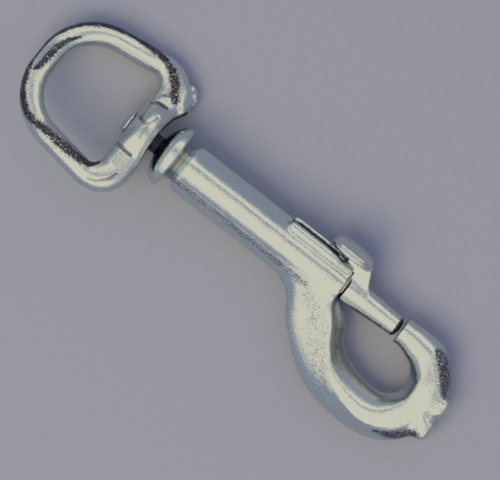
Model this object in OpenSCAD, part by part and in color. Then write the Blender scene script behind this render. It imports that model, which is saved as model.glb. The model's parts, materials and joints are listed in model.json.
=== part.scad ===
// Swivel-eye bolt snap: a cast hook and barrel, a sprung bolt with a thumb knob, and a swivel eye.
// Built with the barrel's axis along X, its collar's back at X = 0, the hook toward -Y and the
// knob toward +Y. lay() then sets the whole snap down as it rests on a flat surface at Z = 0.

/* [Barrel] */
// Outside diameter of the barrel
barrel_d = 9.7; // [9.2:0.1:11]
// Length from the collar's back to the mouth
barrel_l = 38; // [36:0.5:44]
// Length of the neck and cone between collar and barrel
shoulder_l = 2.8; // [2:0.1:3.5]
// Diameter of the neck behind the collar
neck_d = 5.8; // [5:0.1:7]
// Diameter of the blind bore that guides the bolt
bore_d = 5.9; // [5.7:0.1:6.1]
// Sideways offset of the bore toward the knob
bore_offset = 0.75; // [0.5:0.05:0.9]
// Solid length between the collar's back and the bore's end
bore_back = 4.2; // [3.5:0.1:6]

/* [Slot] */
// Width of the knob's slot
slot_w = 3.7; // [3.5:0.1:4]
// Length of the slot, back from the mouth
slot_l = 14.6; // [13:0.1:16]
// Angle of the slot above the level, seen along the barrel
slot_angle = 15; // [5:1:30]
// Radius of the bead along each slot edge
bead_r = 0.6; // [0.4:0.05:0.7]
// Radius of the slot's flare at the mouth
flare_r = 1.6; // [1:0.1:2]

/* [Swivel] */
// Diameter of the domed collar behind the barrel
collar_d = 12.2; // [11:0.1:14]
// Height of the collar's dome
collar_t = 3.8; // [2.5:0.1:4]
// Width of the collar's rim
collar_rim = 0.7; // [0.4:0.1:1]
// Diameter of the swivel stem
stem_d = 3.6; // [3:0.1:4]
// Radial clearance of the stem in the eye
stem_fit = 0.1; // [0.05:0.01:0.1]
// Gap between the collar's dome and the base bar, along the stem
swivel_gap = 1.8; // [0.8:0.1:2.2]
// Radius of the hollow seat that the base bar turns to the collar
seat_r = 14; // [12:0.5:20]
// Diameter of the rivet head on the stem
rivet_d = 5.2; // [5:0.1:6]
// Height of the rivet head
rivet_h = 1.1; // [0.8:0.1:1.5]
// Gap between the rivet head and the boss
rivet_gap = 0.1; // [0.05:0.01:0.2]

/* [Eye] */
// Inside width of the eye at its base
eye_w = 20.7; // [19:0.1:24]
// Inside length of the eye, from its base bar
eye_l = 16.6; // [15:0.1:20]
// Diameter of the eye's round bar
eye_bar = 4.4; // [4:0.1:5]
// Width of the base bar
base_w = 6.1; // [5.6:0.1:6.6]
// Thickness of the base bar
base_t = 4.9; // [4.4:0.1:5.4]
// Slope of the base bar up to its swelling over the stem, in degrees
base_slope = 12; // [8:1:15]
// Distance from the stem's axis at which that slope starts
slope_y = 8.8; // [8:0.1:10]
// Height of the swelling over the stem's axis
swell_h = 5.3; // [4.8:0.1:5.6]
// Radius of the swelling's back
swell_r = 8.2; // [7.5:0.1:9]
// Lean of each side bar toward the far end, in degrees
eye_taper = 8.9; // [6:0.1:11]
// Inside radius of the two corners at the base
corner_r = 2.3; // [1.8:0.1:3]
// Inside radius of the two corners at the far end
far_r = 7.6; // [6:0.1:8]
// Diameter of the boss that the rivet head bears on
boss_d = 8; // [7:0.1:9]
// Length of the boss along the stem
boss_l = 5.4; // [5:0.1:6]
// Radius of the gate stub left on the eye's corner
eye_gate_r = 2.1; // [1.8:0.05:2.3]
// How far the eye's gate stub stands out of the base bar
eye_gate_h = 1.9; // [1.2:0.1:2]

/* [Hook] */
// Inside radius of the hook on the barrel's side
spine_r = 8.1; // [7.6:0.1:9]
// Inside radius of the hook at its far end
end_r = 4.3; // [4:0.1:5]
// Distance from the mouth to the centre of the spine's radius
spine_x = 12; // [11.5:0.1:13]
// Distance from the mouth to the centre of the end's radius
end_x = 15.6; // [15:0.1:18]
// Depth of the hook's opening below the barrel's axis
hook_depth = 10.4; // [9.8:0.1:11]
// Width of the spine beside the mouth
spine_w = 10.8; // [10:0.1:11.5]
// Width of the belly
belly_w = 8.7; // [8:0.1:9.5]
// Thickness of the belly
belly_t = 8.6; // [8:0.1:9]
// Distance from the mouth to the nose: the gate that the bolt closes
gate_l = 12.95; // [12.5:0.05:14]
// Diameter of the nose
nose_d = 5.4; // [5.2:0.1:6.4]
// Width of the two gate stubs at the hook's end
hook_gate_d = 4.2; // [3.6:0.1:4.8]
// Thickness of the gate stubs
hook_gate_t = 6; // [5:0.1:6.6]
// How far the gate stubs stand out
hook_gate_h = 0.8; // [0.3:0.1:1.2]

/* [Bolt] */
// Radial clearance of the bolt in its bore
bolt_fit = 0.1; // [0.05:0.01:0.15]
// Length of the bolt inside the barrel when closed
bolt_in = 10.5; // [9:0.1:12]
// Diameter of the bolt just outside the mouth
root_d = 5.4; // [5:0.1:5.5]
// Diameter of the bolt at its domed tip
tip_d = 4; // [3.6:0.1:4.6]
// Gap between the bolt's tip and the nose
tip_gap = 0.15; // [0.1:0.05:0.4]
// Diameter of the thumb knob
knob_d = 9; // [8.4:0.1:10]
// Thickness of the knob's rim
knob_t = 0.8; // [0.6:0.1:1.4]
// Height of the dome on the knob
knob_dome = 1.4; // [0.8:0.1:1.8]
// Distance from the bolt's axis to the knob's underside
knob_reach = 5.5; // [5.3:0.1:6.5]
// Distance from the mouth back to the knob's centre
knob_back = 2.4; // [2:0.1:3.5]
// Distance from the mouth back to the knob neck's rear
neck_back = 3.1; // [2.6:0.1:3.6]
// Distance from the mouth forward to the foot of the knob's neck
neck_front = 4.3; // [3.8:0.1:5]
// Clearance of the knob's neck on each side of the slot
neck_fit = 0.2; // [0.1:0.05:0.3]

/* [Spring] */
// Diameter of the spring wire
wire_d = 0.6; // [0.4:0.05:0.7]
// Turns of the spring
turns = 12; // [8:1:13]
// Radial clearance of the spring in its bore
spring_fit = 0.2; // [0.15:0.05:0.4]

/* [Hidden] */
$fn = 64;
barrel_r = barrel_d / 2;
collar_r = collar_d / 2;
stem_r = stem_d / 2;
over = 1;                                // how far a cut runs past the face it opens

// Swivel, along -X from the collar's back
seat_x = -collar_t - swivel_gap;          // deepest point of the seat, on the stem
boss_front = seat_x + 0.6;
boss_rear = boss_front - boss_l;
head_x = boss_rear - rivet_gap;
hole_r = stem_r + stem_fit;

// Eye: its bar's centre line is a trapezoid with round corners
bar_r = eye_bar / 2;
base_x = boss_rear + base_w / 2;         // centre of the base bar, level with the boss's rear
far_x = boss_rear - eye_l - bar_r;
corner_mid_r = corner_r + bar_r;
far_mid_r = far_r + bar_r;
side_y = eye_w / 2 + bar_r;              // centre of a side bar, at the corner's end
side_x = base_x - corner_mid_r - base_w / 2 + bar_r;
function side_at(x) = side_y + (x - side_x) * tan(eye_taper);
base_corner = [base_x, side_at(base_x)];
far_corner = [far_x, side_at(far_x)];

// Hook: centres of its two inside radii, and its end
spine_c = [barrel_l + spine_x, spine_r - hook_depth];
end_c = [barrel_l + end_x, end_r - hook_depth];
nose_x = barrel_l + gate_l;
hook_end_x = end_c.x + end_r + belly_w - 0.8;
belly_y = end_c.y - end_r - belly_w / 2;

// How it lies: the collar and the belly touch the surface, and the eye leans until its side does
rest_pitch = atan((collar_r - belly_t / 2) / (end_c.x + collar_rim / 2));
rest_h = collar_r * cos(rest_pitch) - collar_rim / 2 * sin(rest_pitch);
axis_h = rest_h - side_x * sin(rest_pitch);
eye_lean = -asin((axis_h - base_t / 2 + 0.1) / side_y);
low_x = far_x - bar_r;
high_x = hook_end_x + hook_gate_h;
low_y = belly_y - belly_w / 2;
high_y = side_y * cos(eye_lean) + bar_r;

// Bolt
bore_r = bore_d / 2;
bolt_r = bore_r - bolt_fit;
bolt_rear = barrel_l - bolt_in;
bolt_tip = nose_x - tip_gap;
root_x = barrel_l + 0.6;                 // where the bolt's taper starts, clear of the mouth
groove_x = barrel_l - 0.6;               // the groove that hides the mouth's edge
groove_r = root_d / 2 - 0.4;
tip_r = tip_d / 2;
neck_r = slot_w / 2 - neck_fit;
slot_rear = barrel_l - slot_l;

function unit(v) = v / norm(v);
function blend(t) = t * t * (3 - 2 * t);
function ramp(x, a, b) = blend(min(max((x - a) / (b - a), 0), 1));

// Points of an arc that rounds corner b, on the way from a to c, anticlockwise
function corner(a, b, c, r, n) =
    let (u = unit(a - b), v = unit(c - b), half = acos(u * v) / 2)
    let (mid = b + unit(u + v) * r / sin(half), start = b + u * r / tan(half) - mid)
    let (from = atan2(start.y, start.x))
    [for (i = [0:n]) mid + r * [cos(from + (180 - 2 * half) * i / n), sin(from + (180 - 2 * half) * i / n)]];

// Points between two others, without the ends
function between(a, b, n) = [for (i = [1:n]) a + (b - a) * i / (n + 1)];

// A list from its end to its start
function reversed(l) = [for (i = [len(l) - 1:-1:0]) l[i]];

// A smooth curve through a list of stations, each a vector of any length
function through(p0, p1, p2, p3, t) =
    (p1 * 2 + (p2 - p0) * t + (p0 * 2 - p1 * 5 + p2 * 4 - p3) * t * t
    + (p1 * 3 - p0 - p2 * 3 + p3) * t * t * t) / 2;
function smooth(s, n) = [
    for (i = [0:len(s) - 2]) for (k = [0:n - 1])
        through(s[max(i - 1, 0)], s[i], s[i + 1], s[min(i + 2, len(s) - 1)], k / n),
    s[len(s) - 1]];

// Skin over rings of equal length; closed joins the last ring to the first
module skin(rings, closed = false) {
    n = len(rings);
    m = len(rings[0]);
    sides = [for (i = [0:n - (closed ? 1 : 2)]) for (j = [0:m - 1])
        let (a = i * m, b = (i + 1) % n * m, k = (j + 1) % m) [a + j, a + k, b + k, b + j]];
    caps = closed ? [] : [[for (j = [m - 1:-1:0]) j], [for (j = [0:m - 1]) (n - 1) * m + j]];
    polyhedron([for (r = rings) each r], concat(sides, caps), convexity = 6);
}

// Turned shape about the X axis, from [x, radius] points
module turned(profile) {
    rotate([0, 90, 0])
        rotate_extrude()
            polygon([for (p = profile) [p.y, p.x]]);
}

// Quarter ellipse from [x0, r0] on the axis side to [x1, r1] at the rim, as [x, radius] points
function dome(x0, x1, r, n, from = 0) =
    [for (i = [0:n]) let (a = from + (90 - from) * i / n) [x1 + (x0 - x1) * cos(a), r * sin(a)]];

// Into the bolt's frame: Y along the knob's neck, about the bore's axis
module at_bolt() {
    translate([0, bore_offset, 0])
        rotate([slot_angle, 0, 0])
            children();
}

// From the snap's own frame to the surface that it lies on
module lay() {
    translate([-(low_x + high_x) / 2, -(low_y + high_y) / 2, rest_h])
        rotate([0, rest_pitch, 0])
            children();
}

// ---- Body: barrel, collar, swivel stem and hook, one casting

module barrel() {
    turned(concat(
        dome(head_x - rivet_h, head_x, rivet_d / 2, 8),
        [[head_x, stem_r]],
        dome(-collar_t, -collar_rim, collar_r, 10, asin(stem_r / collar_r)),
        [[-collar_rim / 3, collar_r - 0.05],
         [0, collar_r - 0.4],
         [collar_rim * 0.6, neck_d / 2 + 0.9],
         [collar_rim, neck_d / 2 + 0.2],
         [collar_rim + 0.3, neck_d / 2],
         [shoulder_l * 0.75, barrel_r * 0.9],
         [shoulder_l, barrel_r - 0.1],
         [shoulder_l + 0.5, barrel_r],
         [barrel_l - 0.5, barrel_r],
         [barrel_l - 0.15, barrel_r - 0.15],
         [barrel_l, barrel_r - 0.5],
         [barrel_l, 0]]));
}

// Station of the hook's loft: [x, y, width, thickness, crest, flat, round]. crest moves the top
// toward the inside, flat is the top's share of the width, round turns the section to an ellipse
function on_arc(c, r, angle, w, t, crest, flat, round) =
    [c.x + (r + w / 2) * cos(angle), c.y + (r + w / 2) * sin(angle), w, t, crest, flat, round];
hook_stations = [
    [barrel_l - 11, -0.9, 7, 6.6, 0, 0.4, 1],
    [barrel_l - 5.2, -3.1, 8.8, 7.4, 0.25, 0.2, 0.7],
    on_arc(spine_c, spine_r, 200, spine_w, 8.2, 0.5, 0.04, 0.15),
    on_arc(spine_c, spine_r, 225, belly_w + 0.4, 8.3, 0.48, 0.06, 0),
    on_arc(spine_c, spine_r, 250, belly_w, 8.35, 0.2, 0.22, 0),
    on_arc(end_c, end_r, 270, belly_w, belly_t, 0, 0.34, 0),
    on_arc(end_c, end_r, 305, belly_w, belly_t - 0.35, 0, 0.38, 0),
    on_arc(end_c, end_r, 340, belly_w - 0.5, belly_t - 0.6, 0.05, 0.4, 0),
    on_arc(end_c, end_r - 0.4, 375, belly_w - 0.9, belly_t - 0.7, 0.05, 0.4, 0.1),
    on_arc(end_c, end_r - 0.7, 410, nose_d + 2.1, nose_d + 1.2, 0, 0.4, 0.5),
    on_arc(end_c, end_r - 0.7, 438, nose_d + 0.9, nose_d + 0.4, 0, 0.4, 0.9),
    [nose_x + 1.6, bore_offset + 0.05, nose_d, nose_d, 0, 0.4, 1],
    [nose_x, bore_offset, nose_d, nose_d, 0, 0.4, 1]];

// Half width of the section at height h, both as shares
function side_form(h, flat, round) =
    (1 - round) * (flat * pow(max(1 - pow(h, 6), 0), 1 / 6) + (1 - flat) * (1 - pow(h, 1.7)))
    + round * sqrt(max(1 - h * h, 0));

module hook() {
    path = smooth(hook_stations, 5);
    last = len(path) - 1;
    skin([for (i = [0:last])
        let (s = path[i], d = path[min(i + 1, last)] - path[max(i - 1, 0)])
        let (t = unit([d[0], d[1]]), m = 32)
        [for (j = [0:m - 1])
            let (a = 360 * j / m, h = abs(sin(a)))
            let (p = sign(cos(a)) * side_form(h, s[5], s[6]) - s[4] * pow(h, 1.5))
            [s[0] + t.y * p * s[2] / 2, s[1] - t.x * p * s[2] / 2, sin(a) * s[3] / 2]]]);
}

module slot_beads() {
    at_bolt()
        for (side = [-1, 1])
            translate([slot_rear + bead_r, barrel_r - bore_offset - 0.4, side * (slot_w / 2 + bead_r / 2)])
                rotate([0, 90, 0])
                    cylinder(r = bead_r, h = slot_l * 0.7);
}

module slot_cut() {
    at_bolt() {
        translate([slot_rear + slot_w / 2, 0, -slot_w / 2])
            cube([slot_l + over, barrel_d, slot_w]);
        translate([slot_rear + slot_w / 2, 0, 0])
            rotate([-90, 0, 0])
                cylinder(r = slot_w / 2, h = barrel_d);
        // rounded corners where the slot meets the mouth
        for (side = [-1, 1])
            difference() {
                translate([barrel_l - flare_r, 0, side * (slot_w + flare_r) / 2 - flare_r / 2 - 0.01])
                    cube([flare_r + over, barrel_d, flare_r + 0.02]);
                translate([barrel_l - flare_r, -over, side * (slot_w / 2 + flare_r)])
                    rotate([-90, 0, 0])
                        cylinder(r = flare_r, h = barrel_d + 2 * over);
            }
    }
}

// What is left of the casting's gate: two blunt stubs on the hook's end
module hook_gates() {
    w = hook_gate_d / 2;
    t = hook_gate_t / 2;
    for (y = [0, -hook_gate_d - 0.5])
        translate([end_c.x + end_r + belly_w / 2, end_c.y + y, 0])
            rotate([90, 0, 90])
                linear_extrude(hook_end_x + hook_gate_h - end_c.x - end_r - belly_w / 2)
                    polygon([[-w, -t + 1], [-w + 0.7, -t], [w - 0.7, -t], [w, -t + 1],
                        [w, t - 1], [w - 0.7, t], [-w + 0.7, t], [-w, t - 1]]);
}

module body() {
    color("silver")
        difference() {
            union() {
                barrel();
                hook();
                slot_beads();
                hook_gates();
            }
            translate([bore_back, bore_offset, 0])
                rotate([0, 90, 0])
                    cylinder(r = bore_r, h = nose_x - bore_back);
            slot_cut();
            // shallow cup in the nose for the bolt's tip
            translate([nose_x - tip_r * 1.2, bore_offset, 0])
                sphere(r = tip_r * 1.35);
        }
}

// ---- Eye: ring and boss, one casting

module eye_ring() {
    near = corner([base_x, 0], base_corner, far_corner, corner_mid_r, 8);
    far = corner(base_corner, far_corner, [far_x, 0], far_mid_r, 10);
    half = concat(
        [for (share = [0.15, 0.3, 0.45, 0.55, 0.63, 0.75]) [base_x, slope_y * share]],
        near,
        between(near[8], far[0], 2),
        far);
    path = concat(
        [[base_x, 0]],
        half,
        [[far_x, 0]],
        [for (p = reversed(half)) [p.x, -p.y]]);
    n = len(path);
    skin([for (i = [0:n - 1])
        let (s = path[i], t = unit(path[(i + 1) % n] - path[(i + n - 1) % n]))
        let (base = ramp(s.x, near[8].x, base_x), m = 20)
        let (w = eye_bar + (base_w - eye_bar) * base)
        let (slope = base_t - eye_bar + 2 * tan(base_slope) * max(slope_y - abs(s.y), 0))
        let (swell = 2 * (swell_h - swell_r + sqrt(max(swell_r * swell_r - s.y * s.y, 0))))
        let (h = max(eye_bar + slope * base, swell * base))
        [for (j = [0:m - 1])
            let (a = 360 * j / m, p = cos(a) * w / 2)
            [s.x + t.y * p, s.y - t.x * p, sin(a) * h / 2]]], closed = true);
}

module eye_boss() {
    crown = boss_d * 0.42;
    turned([[boss_rear, 0],
        [boss_rear, crown - 0.6],
        [boss_rear + 0.35, crown],
        [boss_rear + boss_l * 0.3, boss_d / 2 - 0.05],
        [boss_rear + boss_l * 0.5, boss_d / 2],
        [boss_rear + boss_l * 0.7, boss_d / 2 - 0.05],
        [boss_front - 0.35, crown],
        [boss_front, crown - 0.6],
        [boss_front, 0]]);
}

// What is left of the casting's gate: a rounded stub on the corner, broken off flat
module eye_gate() {
    outer = base_x + base_w / 2 + eye_gate_h;
    difference() {
        hull()
            for (p = [[-0.4, 0], [-0.1, 3]])
                translate([outer - eye_gate_r + p.x, side_y - corner_mid_r + p.y, 0])
                    sphere(r = eye_gate_r, $fn = 24);
        translate([outer - 0.9, side_y - corner_mid_r - eye_gate_r, -base_w])
            rotate([0, 0, -6])
                cube([base_w, 3 * eye_gate_r + base_w, 2 * base_w]);
    }
}

module eye() {
    color("silver")
        rotate([eye_lean, 0, 0])
            difference() {
                union() {
                    eye_ring();
                    eye_boss();
                    eye_gate();
                }
                translate([boss_rear - over, 0, 0])
                    rotate([0, 90, 0])
                        cylinder(r = hole_r, h = boss_l + 2 * over);
                translate([seat_x + seat_r, 0, 0])
                    sphere(r = seat_r);
            }
}

// ---- Bolt with its thumb knob, one casting

module bolt() {
    neck_top = knob_reach + knob_t / 2;
    color("gainsboro")
        at_bolt() {
            turned(concat(
                [[bolt_rear, 0],
                 [bolt_rear, bolt_r - 0.4],
                 [bolt_rear + 0.4, bolt_r],
                 [groove_x - 0.3, bolt_r],
                 [groove_x, groove_r],
                 [root_x - 0.2, groove_r],
                 [root_x, root_d / 2]],
                reversed(dome(bolt_tip, bolt_tip - tip_r * 0.5, tip_r, 8))));
            // neck of the knob: round at the rear, sloping to the bolt at the front
            translate([barrel_l - neck_back + neck_r, 0, 0])
                rotate([-90, 0, 0])
                    cylinder(r = neck_r, h = neck_top);
            translate([0, 0, -neck_r])
                linear_extrude(2 * neck_r)
                    polygon([[barrel_l - neck_back + neck_r, 0],
                        [barrel_l + neck_front, 0],
                        [barrel_l + neck_front, tip_r],
                        [barrel_l + neck_front - 0.8, root_d / 2 + 0.5],
                        [barrel_l + neck_front - 2.2, neck_top],
                        [barrel_l - neck_back + neck_r, neck_top]]);
            // the knob
            translate([barrel_l - knob_back, knob_reach, 0])
                rotate([-90, 0, 0])
                    rotate_extrude()
                        polygon(concat(
                            [[0, 0], [knob_d / 2 - 0.3, 0], [knob_d / 2, 0.3], [knob_d / 2, knob_t - 0.3]],
                            [for (p = reversed(dome(knob_t + knob_dome, knob_t, knob_d / 2 - 0.3, 6))) [p.y, p.x]]));
        }
}

// ---- Spring behind the bolt

module spring() {
    coil_r = bore_r - spring_fit - wire_d / 2;
    from = bore_back + wire_d / 2 + 0.05;
    to = bolt_rear - wire_d / 2 - 0.05;
    steps = turns * 14;
    m = 6;
    color("gray")
        translate([0, bore_offset, 0])
            skin([for (i = [0:steps])
                let (a = 360 * turns * i / steps, x = from + (to - from) * i / steps)
                [for (j = [0:m - 1])
                    let (b = 360 * j / m, r = coil_r + wire_d / 2 * cos(b))
                    [x + wire_d / 2 * sin(b), r * cos(a), r * sin(a)]]]);
}

lay() body();
lay() eye();
lay() bolt();
lay() spring();
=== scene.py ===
"""Bolt snap with a swivel eye: two plated castings, a sprung bolt, and the studio they lie in.

Each casting is modelled as a field of distances, so that its parts flow into each other as cast
metal does, and the field's surface becomes the mesh. All shapes are worked out in millimetres in
the snap's own frame, with X along the barrel from the collar's back toward the hook, and are then
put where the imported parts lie.
"""

import json
import math
from types import SimpleNamespace

import bpy
import numpy as np
from bpy.props import FloatProperty, FloatVectorProperty, IntProperty, PointerProperty
from mathutils import Matrix, Vector


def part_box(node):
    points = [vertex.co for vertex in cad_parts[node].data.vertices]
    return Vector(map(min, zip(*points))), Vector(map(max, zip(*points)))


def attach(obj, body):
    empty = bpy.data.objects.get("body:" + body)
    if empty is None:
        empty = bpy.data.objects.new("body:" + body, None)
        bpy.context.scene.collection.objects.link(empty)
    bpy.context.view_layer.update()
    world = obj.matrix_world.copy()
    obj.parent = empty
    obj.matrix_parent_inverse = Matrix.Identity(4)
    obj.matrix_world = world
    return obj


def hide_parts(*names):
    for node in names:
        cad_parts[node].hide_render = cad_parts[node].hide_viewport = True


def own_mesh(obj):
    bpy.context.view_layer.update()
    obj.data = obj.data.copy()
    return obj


bl_info = {
    "name": "Bolt Snap",
    "version": (1, 0, 0),
    "blender": (4, 5, 0),
    "location": "3D View > Sidebar > Bolt Snap",
    "description": "Builds a bolt snap with a swivel eye around its packed parts",
    "category": "Add Mesh",
}

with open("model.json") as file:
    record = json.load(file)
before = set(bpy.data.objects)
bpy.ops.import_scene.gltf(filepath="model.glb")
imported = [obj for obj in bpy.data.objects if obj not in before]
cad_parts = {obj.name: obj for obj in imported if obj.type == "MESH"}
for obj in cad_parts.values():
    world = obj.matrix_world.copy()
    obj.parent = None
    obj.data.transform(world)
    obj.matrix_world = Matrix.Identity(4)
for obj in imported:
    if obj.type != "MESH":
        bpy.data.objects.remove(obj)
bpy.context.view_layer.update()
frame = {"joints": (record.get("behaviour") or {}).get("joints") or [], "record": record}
MM = 0.001


# ---- Sizes and colours that a user would change


def length(name, millimetres, text):
    """A length property whose default is given in millimetres."""
    return FloatProperty(name=name, description=text, default=millimetres * MM,
                         min=0.0, precision=5, unit="LENGTH")


def angle(name, degrees, text):
    """An angle property whose default is given in degrees."""
    return FloatProperty(name=name, description=text, default=math.radians(degrees),
                         subtype="ANGLE")


def colour(name, value, text):
    """A colour property."""
    return FloatVectorProperty(name=name, description=text, default=value, size=3,
                               min=0.0, max=1.0, subtype="COLOR")


def share(name, value, text):
    """A plain number from 0 to 1."""
    return FloatProperty(name=name, description=text, default=value, min=0.0, max=1.0,
                         subtype="FACTOR")


class SnapSizes(bpy.types.PropertyGroup):
    """Sizes of the castings, the bolt and the spring."""

    barrel_d: length("Barrel", 9.7, "Outside diameter of the barrel")
    barrel_l: length("Barrel length", 38, "Length from the collar's back to the mouth")
    shoulder_l: length("Shoulder", 2.8, "Length of the neck and cone behind the collar")
    neck_d: length("Neck", 5.8, "Diameter of the neck behind the collar")
    bore_d: length("Bore", 5.9, "Diameter of the blind bore that guides the bolt")
    bore_offset: length("Bore offset", 0.75, "Sideways offset of the bore toward the knob")
    bore_back: length("Bore back", 4.2, "Solid length between the collar's back and the bore")
    slot_w: length("Slot width", 3.7, "Width of the knob's slot")
    slot_l: length("Slot length", 14.6, "Length of the slot, back from the mouth")
    slot_angle: angle("Slot angle", 15, "Angle of the slot above the level")
    bead_r: length("Slot bead", 0.6, "Radius of the bead along each slot edge")
    flare_r: length("Slot flare", 1.6, "Radius of the slot's flare at the mouth")
    collar_d: length("Collar", 12.2, "Diameter of the domed collar behind the barrel")
    collar_t: length("Collar height", 3.8, "Height of the collar's dome")
    collar_rim: length("Collar rim", 0.7, "Width of the collar's rim")
    stem_d: length("Stem", 3.6, "Diameter of the swivel stem")
    stem_fit: length("Stem clearance", 0.1, "Radial clearance of the stem in the eye")
    swivel_gap: length("Swivel gap", 1.8, "Gap between the collar's dome and the base bar")
    seat_r: length("Seat", 14, "Radius of the hollow seat in the base bar")
    rivet_d: length("Rivet head", 5.2, "Diameter of the rivet head on the stem")
    rivet_h: length("Rivet height", 1.1, "Height of the rivet head")
    rivet_gap: length("Rivet gap", 0.1, "Gap between the rivet head and the boss")
    eye_w: length("Eye width", 20.7, "Inside width of the eye at its base")
    eye_l: length("Eye length", 16.6, "Inside length of the eye")
    eye_bar: length("Eye bar", 4.4, "Diameter of the eye's round bar")
    base_w: length("Base bar width", 6.1, "Width of the base bar")
    base_t: length("Base bar thickness", 4.9, "Thickness of the base bar")
    base_slope: angle("Base bar slope", 12, "Slope of the base bar up to its swelling")
    slope_y: length("Slope start", 8.8, "Distance from the stem at which that slope starts")
    swell_h: length("Swelling", 5.3, "Height of the swelling over the stem's axis")
    swell_r: length("Swelling radius", 8.2, "Radius of the swelling's back")
    eye_taper: angle("Eye taper", 8.9, "Lean of each side bar toward the far end")
    corner_r: length("Base corners", 2.3, "Inside radius of the two corners at the base")
    far_r: length("Far corners", 7.6, "Inside radius of the two corners at the far end")
    boss_d: length("Boss", 8, "Diameter of the boss that the rivet head bears on")
    boss_l: length("Boss length", 5.4, "Length of the boss along the stem")
    eye_gate_r: length("Eye gate", 2.1, "Radius of the gate stub left on the eye's corner")
    eye_gate_h: length("Eye gate height", 1.9, "How far the gate stub stands out")
    spine_r: length("Spine radius", 8.1, "Inside radius of the hook on the barrel's side")
    end_r: length("End radius", 4.3, "Inside radius of the hook at its far end")
    spine_x: length("Spine centre", 12, "Distance from the mouth to the spine's centre")
    end_x: length("End centre", 15.6, "Distance from the mouth to the end's centre")
    hook_depth: length("Hook depth", 10.4, "Depth of the opening below the barrel's axis")
    spine_w: length("Spine width", 10.8, "Width of the spine beside the mouth")
    belly_w: length("Belly width", 8.7, "Width of the belly")
    belly_t: length("Belly thickness", 8.6, "Thickness of the belly")
    gate_l: length("Gate", 12.95, "Distance from the mouth to the nose")
    nose_d: length("Nose", 5.4, "Diameter of the nose")
    hook_gate_d: length("Gate stubs", 4.2, "Width of the two stubs at the hook's end")
    hook_gate_t: length("Gate stub thickness", 6, "Thickness of the gate stubs")
    hook_gate_h: length("Gate stub height", 0.8, "How far the gate stubs stand out")
    bolt_fit: length("Bolt clearance", 0.1, "Radial clearance of the bolt in its bore")
    bolt_in: length("Bolt in barrel", 10.5, "Length of the bolt inside the closed barrel")
    root_d: length("Bolt root", 5.4, "Diameter of the bolt just outside the mouth")
    tip_d: length("Bolt tip", 4, "Diameter of the bolt at its domed tip")
    tip_gap: length("Tip gap", 0.15, "Gap between the bolt's tip and the nose")
    knob_d: length("Knob", 9, "Diameter of the thumb knob")
    knob_t: length("Knob rim", 0.8, "Thickness of the knob's rim")
    knob_dome: length("Knob dome", 1.4, "Height of the dome on the knob")
    knob_reach: length("Knob reach", 5.5, "Distance from the bolt's axis to the knob")
    knob_back: length("Knob centre", 2.4, "Distance from the mouth back to the knob's centre")
    neck_back: length("Knob neck rear", 3.1, "Distance from the mouth back to the neck's rear")
    neck_front: length("Knob neck foot", 4.3, "Distance from the mouth to the neck's foot")
    neck_fit: length("Knob neck clearance", 0.2, "Clearance of the neck in the slot")
    wire_d: length("Spring wire", 0.6, "Diameter of the spring wire")
    turns: IntProperty(name="Spring turns", description="Turns of the spring", default=12, min=2)
    spring_fit: length("Spring clearance", 0.2, "Radial clearance of the spring in its bore")
    mesh_step: length("Mesh step", 0.25, "Distance between the points of a casting's mesh")


class SnapFinish(bpy.types.PropertyGroup):
    """Colours and gloss of the plating and the wire."""

    plating: colour("Plating", (0.62, 0.68, 0.70), "Colour of the bright plating")
    # the dark colour for painted shade in hollows and for the skin's dark specks
    tarnish_and_shade: colour("Tarnish and shade", (0.05, 0.05, 0.08), "Colour of the plating in its hollows")
    wire: colour("Wire", (0.30, 0.29, 0.27), "Colour of the spring wire")
    gloss: share("Roughness", 0.12, "Roughness of the bright plating")
    skin: length("Skin grain", 0.34, "Size of the casting's grain under the plating")


class SnapStage(bpy.types.PropertyGroup):
    """Floor, lights and camera."""

    floor: colour("Floor", (0.57, 0.56, 0.565), "Colour of the floor")
    panels: colour("Panels", (0.63, 0.51, 0.26), "Brightness of the panels that the metal mirrors")
    warmth: colour("Lamp", (1.0, 0.92, 0.59), "Colour of the key lamp")
    room: colour("Room", (0.30, 0.34, 0.42), "Colour of the room that the metal mirrors")
    fill: colour("Fill light", (0.25, 0.29, 0.47), "Colour of the light that fills the shadows")
    view_turn: angle("View turn", 38, "Turn of the camera about its line of sight")
    view_width: length("View width", 90, "Width of what the camera sees at the snap")
    view_x: length("View centre", 1.95, "Place of the picture's centre along the snap")
    view_height: length("Camera height", 900, "Height of the camera above the snap")


# ---- The plan: sizes in millimetres, and the places that follow from them


def plan():
    """The sizes in millimetres and radians, with the places that follow from them."""
    group = bpy.context.scene.snap_sizes
    s = SimpleNamespace()
    for name in SnapSizes.__annotations__:
        unit = group.bl_rna.properties[name].unit
        setattr(s, name, getattr(group, name) / (MM if unit == "LENGTH" else 1))
    s.seat_in = 0.6  # from the seat's deepest point to the boss's front
    s.hook_round = 0.8  # how far the hook's end falls short of the belly's full width
    s.seat_x = -s.collar_t - s.swivel_gap
    s.boss_front = s.seat_x + s.seat_in
    s.boss_rear = s.boss_front - s.boss_l
    s.head_x = s.boss_rear - s.rivet_gap
    s.bar_r = s.eye_bar / 2
    s.base_x = s.boss_rear + s.base_w / 2
    s.far_x = s.boss_rear - s.eye_l - s.bar_r
    s.side_y = s.eye_w / 2 + s.bar_r
    s.side_x = s.base_x - s.corner_r - s.base_w / 2
    s.spine_c = np.array([s.barrel_l + s.spine_x, s.spine_r - s.hook_depth])
    s.end_c = np.array([s.barrel_l + s.end_x, s.end_r - s.hook_depth])
    s.nose_x = s.barrel_l + s.gate_l
    s.hook_end_x = s.end_c[0] + s.end_r + s.belly_w - s.hook_round
    s.bolt_rear = s.barrel_l - s.bolt_in
    s.bolt_tip = s.nose_x - s.tip_gap
    s.slot_rear = s.barrel_l - s.slot_l
    return s


def named(rows, name):
    """The row with this name."""
    return next(row for row in rows if row["name"] == name)


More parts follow.
